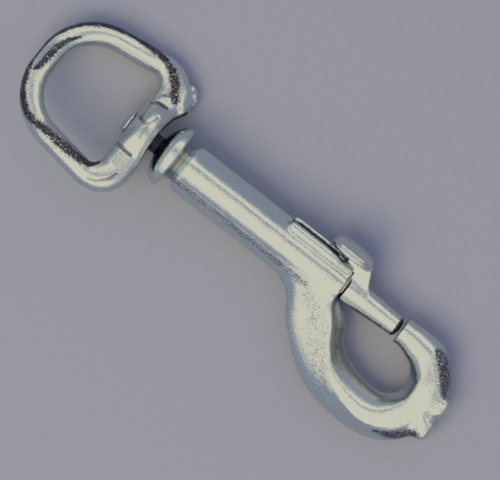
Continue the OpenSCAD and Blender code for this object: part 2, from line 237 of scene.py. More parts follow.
def placing(s, lean=0.0, offset=0.0):
    """Matrix from a piece's own frame to where the snap lies.

    The piece leans about its X axis, which is this far to the side of the barrel's.
    """
    swivel = named(frame["joints"], "eye_swivel")
    along = Vector(swivel["axis"])
    side = Vector((0, 1, 0))
    turn = Matrix((along, side, along.cross(side))).transposed().to_4x4()
    centre = Vector(((s.boss_front + s.boss_rear) / 2, 0, 0))
    shift = Vector(swivel["pos_m"]) / MM - turn @ centre
    return (Matrix.Translation(shift) @ turn @ Matrix.Translation((0, offset, 0))
            @ Matrix.Rotation(lean, 4, "X"))


def eye_lean():
    """How far the eye leans about the barrel's axis, read from its opening's direction."""
    return -math.asin(named(frame["record"]["mounts"], "eye_opening")["axis"][1])


# ---- Fields of distances: negative inside the metal, in millimetres


class Block:
    """Sample points of a block of space, a fixed step apart."""

    def __init__(self, low, high, step):
        self.low, self.step = np.array(low, float), step
        counts = [math.ceil((b - a) / step) + 1 for a, b in zip(low, high)]
        axes = np.ogrid[tuple(slice(0, n) for n in counts)]
        self.x, self.y, self.z = (
            (a + step * i).astype(np.float32) for a, i in zip(low, axes))

    def sample(self, field, points):
        """The field at these points, between its samples."""
        place = (points - self.low) / self.step
        cell = np.clip(np.floor(place).astype(int), 0, np.array(field.shape) - 2)
        return within_cell(place - cell, lambda corner: field[tuple((cell + corner).T)])


CORNERS = np.array([(i, j, k) for i in (0, 1) for j in (0, 1) for k in (0, 1)])
CELL_EDGES = [(a, b) for a in range(8) for b in range(a, 8)
              if np.abs(CORNERS[a] - CORNERS[b]).sum() == 1]
FAR = 1e9


def within_cell(part, value_at):
    """The value this share of the way through a cell, mixed from the values at its corners."""
    total = 0
    for corner in CORNERS:
        weight = np.prod(np.where(corner, part, 1 - part), axis=1)
        total = total + weight * value_at(corner)
    return total


def blend(t):
    """Eases from 0 to 1."""
    t = np.clip(t, 0, 1)
    return t * t * (3 - 2 * t)


def join(a, b, fillet):
    """Both fields as one, with a fillet of about this size where they meet."""
    t = np.clip(0.5 + 0.5 * (b - a) / fillet, 0, 1)
    return b + (a - b) * t - fillet * t * (1 - t)


def cut(a, b, edge):
    """The first field without the second, its new edges rounded by about this size."""
    return -join(-a, b, edge)


def common(a, b, edge):
    """What both fields hold, its new edges rounded by about this size."""
    return -join(-a, -b, edge)


def outline_distance(x, r, outline):
    """Signed distance to a closed outline of [x, r] corners."""
    nearest = np.full(np.broadcast(x, r).shape, FAR)
    inside = np.zeros(nearest.shape, bool)
    for (ax, ar), (bx, br) in zip(outline, outline[1:] + outline[:1]):
        ex, er = bx - ax, br - ar
        if ex == er == 0:
            continue
        t = np.clip(((x - ax) * ex + (r - ar) * er) / (ex * ex + er * er), 0, 1)
        nearest = np.minimum(nearest, np.hypot(x - ax - t * ex, r - ar - t * er))
        if er:
            inside ^= ((ar > r) != (br > r)) & (x < ex * (r - ar) / er + ax)
    return np.where(inside, -nearest, nearest)


def turned(outline, x, r, fine=0.05):
    """Distance to a shape turned about the X axis, from its [x, radius] outline."""
    outline = [tuple(p) for p in outline]
    outline = [(outline[0][0], -1.0)] + outline + [(outline[-1][0], -1.0)]
    xs = np.arange(float(x.min()), float(x.max()) + 2 * fine, fine)
    rs = np.arange(0, float(r.max()) + 2 * fine, fine)
    table = outline_distance(xs[:, None], rs[None, :], outline).astype(np.float32)
    px, pr = (x - xs[0]) / fine, r / fine
    ix, ir = px.astype(int), pr.astype(int)
    tx, tr = px - ix, pr - ir
    return ((table[ix, ir] * (1 - tx) + table[ix + 1, ir] * tx) * (1 - tr)
            + (table[ix, ir + 1] * (1 - tx) + table[ix + 1, ir + 1] * tx) * tr)


def rod(x, y, z, start, end, radius):
    """Distance to a round rod with rounded ends."""
    start, axis = np.array(start, float), np.subtract(end, start)
    dx, dy, dz = x - start[0], y - start[1], z - start[2]
    t = np.clip((dx * axis[0] + dy * axis[1] + dz * axis[2]) / (axis @ axis), 0, 1)
    return np.sqrt((dx - t * axis[0]) ** 2 + (dy - t * axis[1]) ** 2
                   + (dz - t * axis[2]) ** 2) - radius


def pebble(b, centre, half, edge):
    """Distance to a block of these half sizes with round edges."""
    away = [np.abs(a - c) - h + edge for a, c, h in zip((b.x, b.y, b.z), centre, half)]
    outside = np.sqrt(sum(np.maximum(a, 0) ** 2 for a in away))
    return outside + np.minimum(np.maximum(np.maximum(away[0], away[1]), away[2]), 0) - edge


def dome(x0, x1, r, start=0.0, n=24):
    """Quarter ellipse from [x0, r * sin(start)] to [x1, r], as [x, radius] corners."""
    return [(x1 + (x0 - x1) * math.cos(a), r * math.sin(a))
            for a in np.linspace(start, math.pi / 2, n)]


def smooth(stations, n):
    """A smooth curve through stations, each a list of numbers."""
    s = np.array(stations, float)
    out = []
    for i in range(len(s) - 1):
        p0, p1, p2, p3 = s[max(i - 1, 0)], s[i], s[i + 1], s[min(i + 2, len(s) - 1)]
        for t in np.arange(n) / n:
            out.append((2 * p1 + (p2 - p0) * t + (2 * p0 - 5 * p1 + 4 * p2 - p3) * t * t
                        + (3 * p1 - p0 - 3 * p2 + p3) * t ** 3) / 2)
    return np.array(out + [s[-1]])


def half_width(h, flat, rounding):
    """Half width of a section at height h, both as shares: flat-topped, or an ellipse."""
    h = np.clip(h, 0, 1)
    flat_top = (1 - h ** 6) ** (1 / 6)
    slope = 1 - h ** 1.25
    return ((1 - rounding) * (flat * flat_top + (1 - flat) * slope)
            + rounding * np.sqrt(1 - h * h))


def beside_path(block, path, batch=3000):
    """Where each column of the block lies beside a level path, worked out a batch at a time.

    Returns the path's row next to the column, how far the column is to the path's right, and how
    far it is past an open end.
    """
    columns = np.stack([a.ravel() for a in np.broadcast_arrays(block.x[:, :, 0],
                                                              block.y[:, :, 0])], 1)
    start, step = path[:-1, :2], np.diff(path[:, :2], axis=0)
    size = np.hypot(*step.T)
    along = step / size[:, None]
    closed = np.allclose(path[0, :2], path[-1, :2])
    row, offset, past = [], [], []
    for some in np.array_split(columns, len(columns) // batch + 1):
        d = some[:, None, :] - start[None]
        t = np.clip((d * along).sum(2), 0, size)
        rest = d - t[:, :, None] * along
        i = np.hypot(rest[..., 0], rest[..., 1]).argmin(1)
        pick = np.arange(len(some)), i
        reach, unit = rest[pick], along[i]
        side = reach[:, 0] * unit[:, 1] - reach[:, 1] * unit[:, 0]
        beyond = np.abs((reach * unit).sum(1))
        at_end = ((i == 0) & (t[pick] == 0)) | ((i == len(size) - 1) & (t[pick] == size[i]))
        at_end &= not closed
        offset.append(np.where(at_end, side, np.sign(side) * np.hypot(*reach.T)))
        past.append(np.where(at_end, beyond, -FAR))
        row.append(path[i] + (path[i + 1] - path[i]) * (t[pick] / size[i])[:, None])
    return [np.concatenate(a).astype(np.float32) for a in (row, offset, past)]


def swept(block, path, margin=2.0, edges=64):
    """Distance to a form swept along a level path, exact up to a margin beside it.

    Each row of the path is [x, y, width, height, crest, flat, rounding]: crest moves the top
    toward the path's left, flat is the top's share of the width, and rounding makes an ellipse.
    """
    row, offset, past = beside_path(block, path)
    width, height, crest, flat, rounding = (row[:, k, None] for k in range(2, 7))
    near = np.abs(offset) < width[:, 0] / 2 + margin
    field = np.repeat((np.abs(offset) - width[:, 0] / 2)[:, None], block.z.size, axis=1)
    width, height, crest, flat, rounding = (
        a[near] for a in (width, height, crest, flat, rounding))
    u, z = offset[near, None], np.abs(block.z.reshape(1, -1))
    turn = np.linspace(0, np.pi, edges, dtype=np.float32)
    h = np.clip(np.sin(turn), 0, 1)[None]
    edge_u = (np.sign(np.cos(turn)) * half_width(h, flat, rounding)
              - crest * h ** 3) * width / 2
    edge_z = h * height / 2
    nearest = np.full((near.sum(), block.z.size), FAR, np.float32)
    for k in range(edges - 1):
        au, az = edge_u[:, k, None], edge_z[:, k, None]
        eu, ez = edge_u[:, k + 1, None] - au, edge_z[:, k + 1, None] - az
        t = np.clip(((u - au) * eu + (z - az) * ez) / (eu * eu + ez * ez + 1e-12), 0, 1)
        nearest = np.minimum(nearest, (u - au - t * eu) ** 2 + (z - az - t * ez) ** 2)
    h = z / (height / 2)
    reach = half_width(h, flat, rounding) * width / 2
    middle = -crest * np.minimum(h, 1) ** 3 * width / 2
    inside = (h < 1) & (np.abs(u - middle) < reach)
    field[near] = np.where(inside, -1, 1) * np.sqrt(nearest)
    field = np.maximum(field, past[:, None])
    return field.reshape(block.x.shape[0], block.y.shape[1], block.z.size)


def rumple(points, size, seed, cells=32, shift=1000):
    """Smooth noise from 0 to 1 at these points, with lumps of about this size.

    It repeats after this many cells, and the shift picks where in them the points start.
    """
    lattice = np.random.default_rng(seed).random((cells,) * 3)
    place = points / size + shift
    cell = np.floor(place).astype(int)
    return within_cell(blend(place - cell),
                       lambda corner: lattice[tuple(((cell + corner) % cells).T)])


def relief(points, *waves):
    """Sum of such noises at these points, each given as [height, size, seed]."""
    return sum(height * rumple(points, size, seed) for height, size, seed in waves)


def streaks(points, *routes):
    """How near these points are, seen from above, to routes of [x, y, half width].

    It is 1 up to two thirds of the half width from a route, and 0 from twice that width on.
    """
    most = np.zeros(len(points))
    for route in routes:
        for (ax, ay, aw), (bx, by, bw) in zip(route, route[1:]):
            ex, ey = bx - ax, by - ay
            t = ((points[:, 0] - ax) * ex + (points[:, 1] - ay) * ey) / (ex * ex + ey * ey)
            t = np.clip(t, 0, 1)
            off = np.hypot(points[:, 0] - ax - t * ex, points[:, 1] - ay - t * ey)
            most = np.maximum(most, 1.5 - off / (aw + (bw - aw) * t) * 0.75)
    return np.clip(most, 0, 1)


# ---- From a field to a casting's mesh


def surface_net(field, block):
    """Points and quads on the field's surface, one point in each cell that it crosses."""
    inside = field < 0

    def shifted(a, corner):
        return a[tuple(slice(c, n - 1 + c) for c, n in zip(corner, a.shape))]

    filled = sum(shifted(inside, c).astype(np.int8) for c in CORNERS)
    crossed = (filled > 0) & (filled < 8)
    cells = np.argwhere(crossed)
    number = np.full(crossed.shape, -1, np.int32)
    number[crossed] = np.arange(len(cells))
    values = np.stack([field[tuple((cells + c).T)] for c in CORNERS], 1)
    total, count = np.zeros((len(cells), 3)), np.zeros(len(cells))
    for a, b in CELL_EDGES:
        hit = (values[:, a] < 0) != (values[:, b] < 0)
        t = values[hit, a] / (values[hit, a] - values[hit, b])
        total[hit] += CORNERS[a] + t[:, None] * (CORNERS[b] - CORNERS[a])
        count[hit] += 1
    points = block.low + block.step * (cells + total / count[:, None])
    quads = []
    for axis in range(3):
        first = np.moveaxis(inside, axis, 0)
        edge = np.argwhere(first[:-1] != first[1:])
        edge = edge[:, np.argsort([axis] + [n for n in range(3) if n != axis])]
        u, v = np.eye(3, dtype=int)[(axis + 1) % 3], np.eye(3, dtype=int)[(axis + 2) % 3]
        quad = np.stack([number[tuple((edge - d).T)] for d in (0 * u, u, u + v, v)], 1)
        inward = ~inside[tuple(edge.T)]
        quad[inward] = quad[inward][:, ::-1]
        quads.append(quad)
    return points, np.concatenate(quads)


def settle(points, quads, field, block, rounds=4, pull=0.6, least=0.1):
    """Evens out the net and puts its points back on the surface. Returns the normals too.

    Each round pulls a point this share of the way to its neighbours' middle, and then takes two
    steps back along the field's slope, kept short where the field is nearly level.
    """
    slope = np.gradient(field, block.step)
    a, b = quads.ravel(), np.roll(quads, -1, axis=1).ravel()
    count = np.bincount(a, minlength=len(points)) + np.bincount(b, minlength=len(points))
    for _ in range(rounds):
        total = np.stack([
            np.bincount(a, points[b, k], len(points)) + np.bincount(b, points[a, k], len(points))
            for k in range(3)], 1)
        points = (1 - pull) * points + pull * total / count[:, None]
        for _ in range(2):
            normal = np.stack([block.sample(s, points) for s in slope], 1)
            steepness = np.maximum((normal ** 2).sum(1), least)
            points = points - (block.sample(field, points) / steepness)[:, None] * normal
    normal = np.stack([block.sample(s, points) for s in slope], 1)
    return points, normal / np.linalg.norm(normal, axis=1)[:, None]


def bend_of(field, block, points):
    """How the surface bends at these points, per millimetre: above 0 on edges, below in hollows."""
    slope = np.gradient(field, block.step)
    spread = sum(np.gradient(s, block.step, axis=k) for k, s in enumerate(slope))
    return block.sample(spread, points)


def casting(name, s, block, shape, skin, place, body):
    """Casts a piece: a mesh of its shape with its skin, in place of its CAD node on its body.

    The mesh carries how the surface bends, lowered where shade is painted, and how much roughness
    and painted dark it has.
    """
    field = shape(block, s)
    points, quads = surface_net(field, block)
    points, normals = settle(points, quads, field, block)
    bend = bend_of(field, block, points)
    depth, rough_and_painted_dark, shade = skin(points, normals, s)
    # painted shade: the skin's shade lowers the bend, so that the plating darkens there as in a
    # hollow
    points, bend = points - depth[:, None] * normals, bend - 2 * shade
    place = np.array(place)
    points = (points @ place[:3, :3].T + place[:3, 3]) * MM
    mesh = bpy.data.meshes.new(name)
    mesh.from_pydata(points.tolist(), [], quads.tolist())
    for label, values in (("bend", bend), ("rough_and_painted_dark", rough_and_painted_dark)):
        attribute = mesh.attributes.new(label, "FLOAT", "POINT")
        attribute.data.foreach_set("value", values.astype(np.float32))
    mesh.shade_smooth()
    piece = bpy.data.objects.new(name, mesh)
    bpy.context.scene.collection.objects.link(piece)
    mesh.materials.append(plated(f"plated_{body}", bpy.context.scene.snap_finish))
    finish_piece(piece, body)


def finish_piece(piece, body):
    """Puts the piece on its body, in place of its CAD node, which it hides."""
    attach(piece, body)
    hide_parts({"barrel_casting": "body", "swivel_eye": "eye", "thumb_bolt": "bolt",
                        "bolt_spring": "spring"}[piece.name])


# ---- Shapes of the pieces. Numbers without a name are millimetres or shares: the last one in a
# join, cut or common is the fillet or the edge, and others shift a point from the sizes above.

PAINTED_SHADE_LEVEL = 1.3  # roughness that paints shade on the swivel stem in its gap and inside the bore, above 1 to darken all of it


def barrel_outline(s):
    """[x, radius] corners of the rivet head, stem, collar, neck and barrel, all turned."""
    r, collar_r, stem_r = s.barrel_d / 2, s.collar_d / 2, s.stem_d / 2
    return (dome(s.head_x - s.rivet_h, s.head_x, s.rivet_d / 2)
            + [(s.head_x, stem_r)]
            + dome(-s.collar_t, -s.collar_rim, collar_r, math.asin(stem_r / collar_r))
            + [(-s.collar_rim / 3, collar_r - 0.05), (0, collar_r - 0.4),
               (s.collar_rim * 0.6, s.neck_d / 2 + 1.3), (s.collar_rim, s.neck_d / 2 + 0.8),
               (s.collar_rim + 0.5, s.neck_d / 2 + 0.6), (s.shoulder_l * 0.75, r * 0.9),
               (s.shoulder_l, r - 0.1), (s.shoulder_l + 0.5, r), (s.barrel_l - 0.5, r),
               (s.barrel_l - 0.15, r - 0.15), (s.barrel_l, r - 0.5)])


def hook_path(s):
    """Stations of the hook as swept takes them, from inside the barrel round to the nose."""
    def on_arc(c, r, degrees, w, *rest):
        """A station whose inner edge is on the arc with this centre and radius."""
        a = math.radians(degrees)
        return [c[0] + (r + w / 2) * math.cos(a), c[1] + (r + w / 2) * math.sin(a), w, *rest]

    w, t, d = s.belly_w, s.belly_t, s.nose_d
    return smooth([
        [s.barrel_l - 11, -0.9, 7, 6.6, 0, 0.4, 1],
        [s.barrel_l - 5.2, -3.1, 8.8, 7.4, 0.25, 0.2, 0.7],
        on_arc(s.spine_c, s.spine_r, 200, s.spine_w, 8.2, 0.5, 0.04, 0.15),
        on_arc(s.spine_c, s.spine_r - 0.5, 225, w + 0.9, 8.3, 0.4, 0.06, 0),
        on_arc(s.spine_c, s.spine_r - 0.6, 250, w + 0.6, 8.35, 0.1, 0.15, 0),
        on_arc(s.end_c, s.end_r, 270, w, t, -0.15, 0.34, 0),
        on_arc(s.end_c, s.end_r, 305, w, t - 0.35, 0, 0.45, 0),
        on_arc(s.end_c, s.end_r, 340, w - 0.5, t - 0.6, 0.1, 0.52, 0),
        on_arc(s.end_c, s.end_r - 0.4, 375, w - 0.9, t - 0.7, 0.1, 0.5, 0.1),
        on_arc(s.end_c, s.end_r - 0.7, 410, d + 2.1, d + 1.2, 0, 0.4, 0.5),
        on_arc(s.end_c, s.end_r - 0.7, 438, d + 0.9, d + 0.4, 0, 0.4, 0.9),
        [s.nose_x + 1.6, s.bore_offset + 0.05, d, d, 0, 0.4, 1],
        [s.nose_x, s.bore_offset, d, d, 0, 0.4, 1]], 40)


def in_slot(s, y, z):
    """Coordinates across the bolt: along the knob's neck, and across the slot."""
    c, n = math.cos(s.slot_angle), math.sin(s.slot_angle)
    return (y - s.bore_offset) * c + z * n, z * c - (y - s.bore_offset) * n


def barrel_flats(b, s):
    """The space between the four flats that run along the barrel and run out at its neck."""
    tilt, shaved, run_out = math.radians(44), 0.35, 2
    return (np.abs(b.y) * math.sin(tilt) + np.abs(b.z) * math.cos(tilt) - s.barrel_d / 2 + shaved
            - run_out * np.maximum(s.shoulder_l - b.x, 0))


def add_slot_lips(b, s, shape):
    """The shape with a bead along each edge of the slot, and a fuller lip along the upper one."""
    up, across = in_slot(s, b.y, b.z)
    bead_up = s.barrel_d / 2 - s.bore_offset - 0.4
    for side in (-1, 1):
        bead_across = side * (s.slot_w / 2 + s.bead_r / 2)
        bead = rod(b.x, up, across, (s.slot_rear + s.bead_r, bead_up, bead_across),
                   (s.slot_rear + s.slot_l * 0.7, bead_up, bead_across), s.bead_r)
        shape = join(shape, bead, 0.5)
    lip_up, lip_across, setback = bead_up - 0.58, s.slot_w / 2 + 0.32, 1.2
    lip = rod(b.x, up, across, (s.slot_rear + setback, lip_up, lip_across),
              (s.barrel_l - setback, lip_up, lip_across), s.bead_r + 0.4)
    return join(shape, lip, 0.8)


def add_gate_stubs(b, s, shape):
    """The shape with what is left of the two gates on the hook's end."""
    spacing, spare = s.hook_gate_d + 0.5, 0.2
    start, end = s.end_c[0] + s.end_r + s.belly_w / 2, s.hook_end_x + s.hook_gate_h
    for y in (0, -spacing):
        stub = pebble(b, ((start + end) / 2, s.end_c[1] + y, 0),
                      ((end - start) / 2, s.hook_gate_d / 2 + spare, s.hook_gate_t / 2 + 0.3),
                      1.6)
        shape = join(shape, stub, 1.0)
    return shape


def cut_bore(b, s, shape):
    """The shape with the bolt's bore, and the shallow cup in the nose that takes its tip."""
    bore = np.maximum(np.hypot(b.y - s.bore_offset, b.z) - s.bore_d / 2,
                      np.maximum(s.bore_back - b.x, b.x - s.nose_x))
    shape = cut(shape, bore, 0.25)
    centre = s.nose_x - s.tip_d * 0.6
    cup = rod(b.x, b.y, b.z, (centre, s.bore_offset, 0), (centre - 0.1, s.bore_offset, 0),
              s.tip_d * 0.675)
    return cut(shape, cup, 0.25)


def cut_slot(b, s, shape):
    """The shape with the knob's slot, round at its rear and flared at the mouth."""
    up, across = in_slot(s, b.y, b.z)
    end = s.slot_rear + s.slot_w / 2
    flare = np.clip(b.x - s.barrel_l + s.flare_r, 0, s.flare_r)
    half = s.slot_w / 2 + s.flare_r - np.sqrt(s.flare_r ** 2 - flare ** 2)
    slot = np.where(b.x < end, np.hypot(b.x - end, across) - s.slot_w / 2,
                    np.abs(across) - half)
    slot = np.maximum(slot, -up)
    slot = np.maximum(slot, b.x - s.barrel_l - 1)
    return cut(shape, slot, 0.35)


def body_field(b, s):
    """Barrel, collar, swivel stem and hook."""
    shape = turned(barrel_outline(s), b.x, np.hypot(b.y, b.z))
    shape = common(shape, barrel_flats(b, s), 0.4)
    shape = join(shape, swept(b, hook_path(s)), 1.2)
    shape = add_slot_lips(b, s, shape)
    shape = add_gate_stubs(b, s, shape)
    return cut_slot(b, s, cut_bore(b, s, shape))


# Stretches of the body's skin, seen from above, as [x, y, half width]: coarse casting skin on the
# nose, the heel and the spine, a painted dark reflection along the barrel's flank on the hook's
# side, and painted shade of stake creases at the mouth
NOSE = [(58.3, 2, 0.5), (59.8, 1.2, 1.1), (61.5, -0.1, 1.2), (63.2, -2, 1.1), (64.2, -3.6, 0.7)]
HEEL = [(64.2, -12.6, 0.8), (62.6, -14.2, 0.9), (60.6, -15.6, 0.6), (58, -16.6, 0.25)]
SPINE = [(33, -4.2, 0.8), (37, -6.2, 1.3), (39.5, -9, 1.6), (42, -12, 1.6), (44.6, -14.8, 1.3),
         (47, -16.6, 0.6)]
FLANK_DARK_REFLECTION = [(2, -3.1, 0.4), (32, -3.3, 0.45)]
MOUTH_STAKE_SHADE = [(37.8, 2.4, 0.3), (38.1, -1, 0.35)]


def skyward(upward):
    """1 where the surface looks up, and down to 0 where it is upright or looks down."""
    return np.clip(upward / 0.12, 0, 1)


def body_skin(points, normals, s):
    """Waves and grain that the mould left, how coarse the skin is from place to place, and the
    painted dark: a painted reflection along the flank, and painted shade at the mouth, on the
    swivel stem and in the bore.
    """
    x, y, z = points.T
    # coarse skin on the nose, heel and spine; a painted dark reflection along the flank and painted
    # shade in the mouth's stake creases
    rough_and_painted_dark = np.maximum.reduce([
        streaks(points, NOSE, HEEL) * 0.65, streaks(points, SPINE) * 0.3,
        streaks(points, FLANK_DARK_REFLECTION) * 0.45, streaks(points, MOUTH_STAKE_SHADE) * 0.6])
    rough_and_painted_dark *= skyward(normals[:, 2])
    # painted shade: the swivel stem in its gap and the inside of the bore are painted dark
    stem = (x < -s.collar_t * 0.9) & (x > s.head_x)
    inside = ((x > s.bore_back - 0.1) & (x < s.barrel_l - 0.1)
              & (np.hypot(y - s.bore_offset, z) < s.bore_d / 2 + 0.15))
    rough_and_painted_dark = np.maximum(rough_and_painted_dark, (stem | inside) * PAINTED_SHADE_LEVEL)
    torn = blend((x - s.hook_end_x + 1.2) / 1.0) * blend((s.end_c[1] + 3 - y) / 2)
    depth = relief(points, (0.03, 2.4, 3), (0.012, 0.8, 4))
    depth = depth + torn * 0.22 * rumple(points, 1.1, 5) + 0.05 * rough_and_painted_dark * rumple(points, 0.5, 6)
    return depth, rough_and_painted_dark, 0 * rough_and_painted_dark


def corner(a, b, c, r, n):
    """Points of an arc that rounds corner b on the way from a to c, anticlockwise."""
    a, b, c = (np.array(p, float) for p in (a, b, c))
    u, v = (a - b) / np.linalg.norm(a - b), (c - b) / np.linalg.norm(c - b)
    half = math.acos(u @ v) / 2
    middle = b + (u + v) / np.linalg.norm(u + v) * r / math.sin(half)
    start = b + u * r / math.tan(half) - middle
    turn = math.atan2(start[1], start[0]) + np.linspace(0, math.pi - 2 * half, n)
    return middle + r * np.stack([np.cos(turn), np.sin(turn)], 1)


def eye_path(s):
    """Stations of the eye's bar, once round: a trapezoid with round corners."""
    def side_at(x):
        """How far from the axis a side bar's middle is here."""
        return s.side_y + (x - s.side_x) * math.tan(s.eye_taper)

    base, far = (s.base_x, side_at(s.base_x)), (s.far_x, side_at(s.far_x))
    near_arc = corner((s.base_x, 0), base, far, s.corner_r + s.bar_r, 60)
    far_arc = corner(base, far, (s.far_x, 0), s.far_r + s.bar_r, 90)
    half = np.concatenate([[(s.base_x, 0)], near_arc, far_arc, [(s.far_x, 0)]])
    fine, step = [half[0]], 0.4
    for a, b in zip(half[:-1], half[1:]):
        n = max(int(np.hypot(*(b - a)) / step), 1)
        fine += [a + (b - a) * (i + 1) / n for i in range(n)]
    half = np.array(fine)
    path = np.concatenate([half, half[-2::-1] * (1, -1)])
    base_share = blend((path[:, 0] - near_arc[-1, 0]) / (s.base_x - near_arc[-1, 0]))
    away = np.abs(path[:, 1])
    slope = s.base_t - s.eye_bar + 2 * math.tan(s.base_slope) * np.maximum(s.slope_y - away, 0)
    back = np.sqrt(np.maximum(s.swell_r ** 2 - away ** 2, 0))
    swell = 2 * (s.swell_h - s.swell_r + back) * base_share
    width = s.eye_bar + (s.base_w - s.eye_bar) * base_share
    height = np.maximum(s.eye_bar + slope * base_share, swell)
    plain = np.zeros(len(path))
    return np.stack([path[:, 0], path[:, 1], width, height, plain, plain, plain + 1], 1)


def eye_gate(b, s):
    """The gate stub on the eye's corner, broken off flat and then on a slope."""
    outer = s.base_x + s.base_w / 2 + s.eye_gate_h - 0.05
    y = s.side_y - s.corner_r - s.bar_r
    stub = rod(b.x, b.y, b.z, (outer - s.eye_gate_r - 0.4, y, 0),
               (outer - s.eye_gate_r - 0.1, y + 3, 0), s.eye_gate_r)
    turn = math.radians(-6)
    flat = ((b.x - outer + 0.9) * math.cos(turn)
            + (b.y - y + s.eye_gate_r) * math.sin(turn))
    nx, ny, nz = 0.533, 0.308, 0.788
    slope = (b.x - outer + 0.9) * nx + (b.y - y - 1.5) * ny + (b.z - 0.6) * nz
    return common(common(stub, flat, 0.4), slope, 0.5)


def eye_field(b, s):
    """Ring and boss of the swivel eye."""
    crown = s.boss_d * 0.42
    r = np.hypot(b.y, b.z)
    boss = turned([(s.boss_rear, crown - 0.6), (s.boss_rear + 0.35, crown),
                   (s.boss_rear + s.boss_l * 0.3, s.boss_d / 2 - 0.05),
                   (s.boss_rear + s.boss_l * 0.5, s.boss_d / 2),
                   (s.boss_rear + s.boss_l * 0.7, s.boss_d / 2 - 0.05),
                   (s.boss_front - 0.35, crown), (s.boss_front, crown - 0.6)], b.x, r)
    shape = join(swept(b, eye_path(s)), boss, 0.5)
    shape = join(shape, eye_gate(b, s), 0.6)
    seat = np.sqrt((b.x - s.seat_x - s.seat_r) ** 2 + r ** 2) - s.seat_r
    shape = cut(shape, seat, 0.4)
    hole = r - s.stem_d / 2 - s.stem_fit
    hole = np.maximum(hole, s.boss_rear - 1 - b.x)
    return cut(shape, hole, 0.2)


# Marks on the eye's skin, seen from above as it lies, as [x, y, half width]: painted dark
# reflections round the ring, shallow creases that also get painted shade, painted shade along the
# bars' inner sides, and crumbs
DARK_REFLECTION_AROUND = [
    (-6.4, 8.1, 0.55), (-7.6, 9.4, 0.8), (-8.7, 11, 0.85), (-10.2, 12.2, 0.7),
    (-12, 12.95, 0.5), (-15.6, 13.2, 0.5), (-19.2, 13.1, 0.5), (-22.8, 12.2, 0.5),
    (-25.4, 11.1, 0.5), (-27.9, 9.3, 0.4), (-29.7, 6.8, 0.36), (-31, 4.1, 0.34),
    (-31.4, 1.2, 0.34), (-31.3, -1.7, 0.36), (-30.6, -4.6, 0.55), (-29.7, -6.8, 0.65),
    (-27.9, -8.7, 0.65), (-26.1, -9.8, 0.6), (-24.3, -10.2, 0.65), (-21.7, -10.2, 0.65),
    (-18.5, -10.4, 0.75), (-15.6, -10.5, 0.75), (-13.1, -10.5, 0.7), (-11.6, -10.2, 0.45),
    (-10.5, -8.9, 0.25)]
DARK_REFLECTION_INSIDE = [(-27, 6.8, 0.15), (-28.2, 5.2, 0.3), (-29.1, 3, 0.55), (-29.4, 0.5, 0.6),
               (-29.5, -1.7, 0.5), (-29.9, -2.8, 0.25)]
CREASES = ([(-10.2, -4.1, 0.28), (-8.4, -4.45, 0.3), (-6.8, -4.5, 0.28)],
           [(-10, 2.1, 0.25), (-9, 1.8, 0.3), (-7.7, 1.75, 0.25)],
           [(-7.1, 3.9, 0.25), (-7.7, 1.9, 0.25), (-7.5, -0.7, 0.2)],
           [(-9.8, 5.2, 0.2), (-8.6, 6.2, 0.28), (-6.7, 6.4, 0.2)],
           [(-8.9, 7.9, 0.2), (-7.3, 8.7, 0.25)],
           [(-6.7, -8.5, 0.25), (-7.3, -10, 0.25), (-8.7, -11.8, 0.2), (-10.5, -12.5, 0.12)])
INNER_SHADE = ([(-12.3, 10.7, 0.4), (-16, 10.5, 0.5), (-20, 9.9, 0.55), (-23.5, 8.4, 0.5),
         (-25.6, 6.2, 0.35)],
        [(-27.2, 2.6, 0.35), (-27.6, 0.2, 0.45), (-27.3, -2.5, 0.5), (-26.3, -5, 0.55),
         (-24.6, -7.2, 0.6), (-22.3, -8.7, 0.6), (-18.5, -9.2, 0.5), (-14, -9.4, 0.5),
         (-11.6, -8.9, 0.4)])
CRUMBS = ([(-5.4, 12.2, 0.2), (-4.9, 11.9, 0.22)], [(-4.1, 11.2, 0.25), (-3.4, 10.7, 0.2)],
          [(-6.2, 12.6, 0.12), (-6, 12.5, 0.12)])


def eye_skin(points, normals, s):
    """Waves and grain on the eye, its creases with painted shade in them, painted dark reflections
    in bands round it, and painted shade along its bars and in its seat.
    """
    x, y, z = points.T
    cos, sin = math.cos(eye_lean()), math.sin(eye_lean())
    level = np.stack([x, y * cos - z * sin], 1)
    sky = skyward(normals[:, 1] * sin + normals[:, 2] * cos)
    crease = streaks(level, *CREASES)
    # painted dark reflections in bands round the ring
    rough_and_painted_dark = streaks(level, DARK_REFLECTION_AROUND, DARK_REFLECTION_INSIDE) * 0.8 * sky
    # painted shade in the creases and along the inner sides of the bars
    shade = np.maximum(crease, 0.6 * streaks(level, *INNER_SHADE)) * sky
    crumbs = streaks(level, *CRUMBS) * sky
    # painted shade: the hollow seat that faces the collar is painted dark
    seat = s.seat_r + 0.05 - np.hypot(x - s.seat_x - s.seat_r, np.hypot(y, z))
    rough_and_painted_dark = np.maximum(rough_and_painted_dark, (seat > -0.3) & (x > s.seat_x - 0.4))
    torn = blend((x - s.base_x - s.base_w / 2 - 0.1) / 0.8)
    depth = relief(points, (0.03, 2.0, 7), (0.012, 0.7, 8))
    depth = depth + torn * 0.45 * rumple(points, 0.8, 9) + 0.12 * crease - 0.3 * crumbs
    return depth, rough_and_painted_dark, shade


